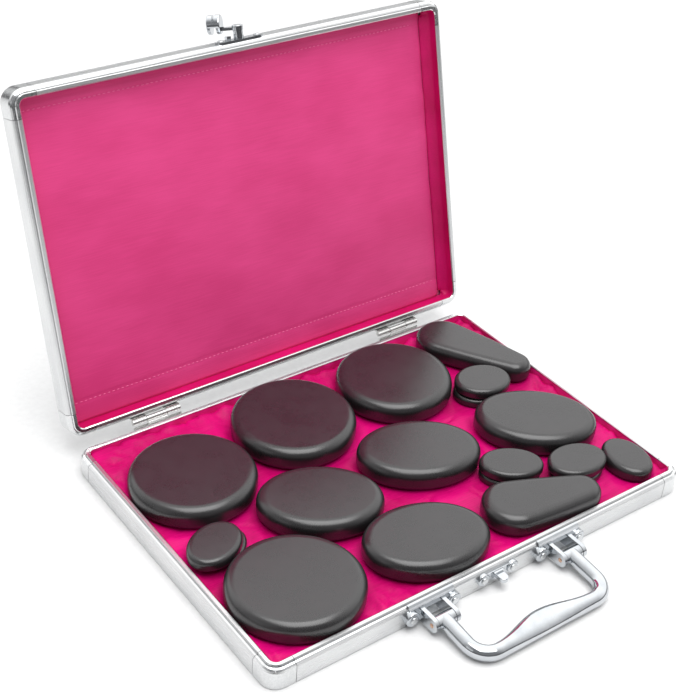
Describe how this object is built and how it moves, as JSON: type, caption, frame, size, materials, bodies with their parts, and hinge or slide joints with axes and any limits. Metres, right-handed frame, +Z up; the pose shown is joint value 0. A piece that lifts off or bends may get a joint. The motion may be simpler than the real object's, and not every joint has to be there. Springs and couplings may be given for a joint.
{
  "type": "massage stone set",
  "caption": "Hinged aluminium case with a swinging handle, a swivel latch and a satin lining, holding loose flat basalt massage stones",
  "frame": {"origin": "middle of the case's underside, on the surface that it stands on", "axes": "+X along the case's length, -Y towards the handle, +Z up; the lid stands open towards +Y"},
  "size_m": [0.32, 0.3599, 0.2479],
  "materials": {
    "frame_rail": "satin anodised",
    "corner_casting": "satin plated",
    "base_panel": "brushed sheet",
    "lid_panel": "brushed sheet",
    "base_wall_lining": "satin",
    "lid_wall_lining": "satin",
    "base_pad": "satin over foam",
    "lid_pad": "satin over thin foam",
    "rivet": "plated steel",
    "hinge": "nickel plated",
    "hinge_pin": "plain",
    "handle_bracket": "plated casting",
    "handle_pin": "plain",
    "handle_bail": "polished plated casting",
    "catch": "plated",
    "catch_lug": "plated",
    "latch_plate": "plated",
    "latch_post": "plated",
    "latch_arm": "plated",
    "latch_knob": "plated",
    "stone_large": "oiled smooth basalt",
    "stone_oval": "oiled smooth basalt",
    "stone_drop": "oiled smooth basalt",
    "stone_small": "oiled smooth basalt"
  },
  "bodies": {
    "tray": {"base_corner_front_left": "corner_casting", "base_corner_front_right": "corner_casting", "base_corner_back_left": "corner_casting", "base_corner_back_right": "corner_casting", "base_rail_front": "frame_rail", "base_rail_back": "frame_rail", "base_rail_left": "frame_rail", "base_rail_right": "frame_rail", "base_panel": "base_panel", "base_wall_lining": "base_wall_lining", "base_pad": "base_pad", "base_rivets": "rivet", "hinge_left_base_leaf": "hinge", "hinge_left_pin": "hinge_pin", "hinge_right_base_leaf": "hinge", "hinge_right_pin": "hinge_pin", "handle_bracket_left": "handle_bracket", "handle_bracket_right": "handle_bracket", "handle_pins": "handle_pin", "catch_plate": "catch", "catch_lug": "catch_lug"},
    "lid": {"lid_corner_front_left": "corner_casting", "lid_corner_front_right": "corner_casting", "lid_corner_back_left": "corner_casting", "lid_corner_back_right": "corner_casting", "lid_rail_front": "frame_rail", "lid_rail_back": "frame_rail", "lid_rail_left": "frame_rail", "lid_rail_right": "frame_rail", "lid_panel": "lid_panel", "lid_wall_lining": "lid_wall_lining", "lid_pad": "lid_pad", "lid_rivets": "rivet", "hinge_left_lid_leaf": "hinge", "hinge_right_lid_leaf": "hinge", "latch_plate": "latch_plate", "latch_post": "latch_post"},
    "latch": {"latch_arm": "latch_arm", "latch_knob": "latch_knob"},
    "handle": {"handle_bail": "handle_bail"},
    "stone_large_1": {"stone_large_1": "stone_large"},
    "stone_large_2": {"stone_large_2": "stone_large"},
    "stone_large_3": {"stone_large_3": "stone_large"},
    "stone_large_4": {"stone_large_4": "stone_large"},
    "stone_oval_1": {"stone_oval_1": "stone_oval"},
    "stone_oval_2": {"stone_oval_2": "stone_oval"},
    "stone_oval_3": {"stone_oval_3": "stone_oval"},
    "stone_oval_4": {"stone_oval_4": "stone_oval"},
    "stone_drop_1": {"stone_drop_1": "stone_drop"},
    "stone_drop_2": {"stone_drop_2": "stone_drop"},
    "stone_small_1_lower": {"stone_small_1_lower": "stone_small"},
    "stone_small_1_upper": {"stone_small_1_upper": "stone_small"},
    "stone_small_2_lower": {"stone_small_2_lower": "stone_small"},
    "stone_small_2_upper": {"stone_small_2_upper": "stone_small"},
    "stone_small_3_lower": {"stone_small_3_lower": "stone_small"},
    "stone_small_3_upper": {"stone_small_3_upper": "stone_small"},
    "stone_small_4_lower": {"stone_small_4_lower": "stone_small"},
    "stone_small_4_upper": {"stone_small_4_upper": "stone_small"},
    "stone_small_5": {"stone_small_5": "stone_small"}
  },
  "joints": [
    {"name": "lid_hinge", "type": "hinge", "parent": "tray", "child": "lid", "pos_m": [0, 0.1142, 0.017], "axis": [-1, 0, 0], "range_deg": [-105, 0]},
    {"name": "handle_swing", "type": "hinge", "parent": "tray", "child": "handle", "pos_m": [-0.0007, -0.124, 0.0074], "axis": [1, 0, 0], "range_deg": [-90, 80]},
    {"name": "latch_swing", "type": "hinge", "parent": "lid", "child": "latch", "pos_m": [0, 0.18021, 0.24095], "axis": [0, -0.2588, -0.9659], "range_deg": [-134, 0]},
    {"name": "stone_large_1_lift", "type": "slide", "parent": "tray", "child": "stone_large_1", "axis": [0, 0, 1], "range_m": [0, 0.06]},
    {"name": "stone_large_2_lift", "type": "slide", "parent": "tray", "child": "stone_large_2", "axis": [0, 0, 1], "range_m": [0, 0.06]},
    {"name": "stone_large_3_lift", "type": "slide", "parent": "tray", "child": "stone_large_3", "axis": [0, 0, 1], "range_m": [0, 0.06]},
    {"name": "stone_large_4_lift", "type": "slide", "parent": "tray", "child": "stone_large_4", "axis": [0, 0, 1], "range_m": [0, 0.06]},
    {"name": "stone_oval_1_lift", "type": "slide", "parent": "tray", "child": "stone_oval_1", "axis": [0, 0, 1], "range_m": [0, 0.06]},
    {"name": "stone_oval_2_lift", "type": "slide", "parent": "tray", "child": "stone_oval_2", "axis": [0, 0, 1], "range_m": [0, 0.06]},
    {"name": "stone_oval_3_lift", "type": "slide", "parent": "tray", "child": "stone_oval_3", "axis": [0, 0, 1], "range_m": [0, 0.06]},
    {"name": "stone_oval_4_lift", "type": "slide", "parent": "tray", "child": "stone_oval_4", "axis": [0, 0, 1], "range_m": [0, 0.06]},
    {"name": "stone_drop_1_lift", "type": "slide", "parent": "tray", "child": "stone_drop_1", "axis": [0, 0, 1], "range_m": [0, 0.06]},
    {"name": "stone_drop_2_lift", "type": "slide", "parent": "tray", "child": "stone_drop_2", "axis": [0, 0, 1], "range_m": [0, 0.06]},
    {"name": "stone_small_1_lower_lift", "type": "slide", "parent": "tray", "child": "stone_small_1_lower", "axis": [0, 0, 1], "range_m": [0, 0.06]},
    {"name": "stone_small_1_upper_lift", "type": "slide", "parent": "stone_small_1_lower", "child": "stone_small_1_upper", "axis": [0, 0, 1], "range_m": [0, 0.05]},
    {"name": "stone_small_2_lower_lift", "type": "slide", "parent": "tray", "child": "stone_small_2_lower", "axis": [0, 0, 1], "range_m": [0, 0.06]},
    {"name": "stone_small_2_upper_lift", "type": "slide", "parent": "stone_small_2_lower", "child": "stone_small_2_upper", "axis": [0, 0, 1], "range_m": [0, 0.05]},
    {"name": "stone_small_3_lower_lift", "type": "slide", "parent": "tray", "child": "stone_small_3_lower", "axis": [0, 0, 1], "range_m": [0, 0.06]},
    {"name": "stone_small_3_upper_lift", "type": "slide", "parent": "stone_small_3_lower", "child": "stone_small_3_upper", "axis": [0, 0, 1], "range_m": [0, 0.05]},
    {"name": "stone_small_4_lower_lift", "type": "slide", "parent": "tray", "child": "stone_small_4_lower", "axis": [0, 0, 1], "range_m": [0, 0.06]},
    {"name": "stone_small_4_upper_lift", "type": "slide", "parent": "stone_small_4_lower", "child": "stone_small_4_upper", "axis": [0, 0, 1], "range_m": [0, 0.05]},
    {"name": "stone_small_5_lift", "type": "slide", "parent": "tray", "child": "stone_small_5", "axis": [0, 0, 1], "range_m": [0, 0.06]}
  ]
}
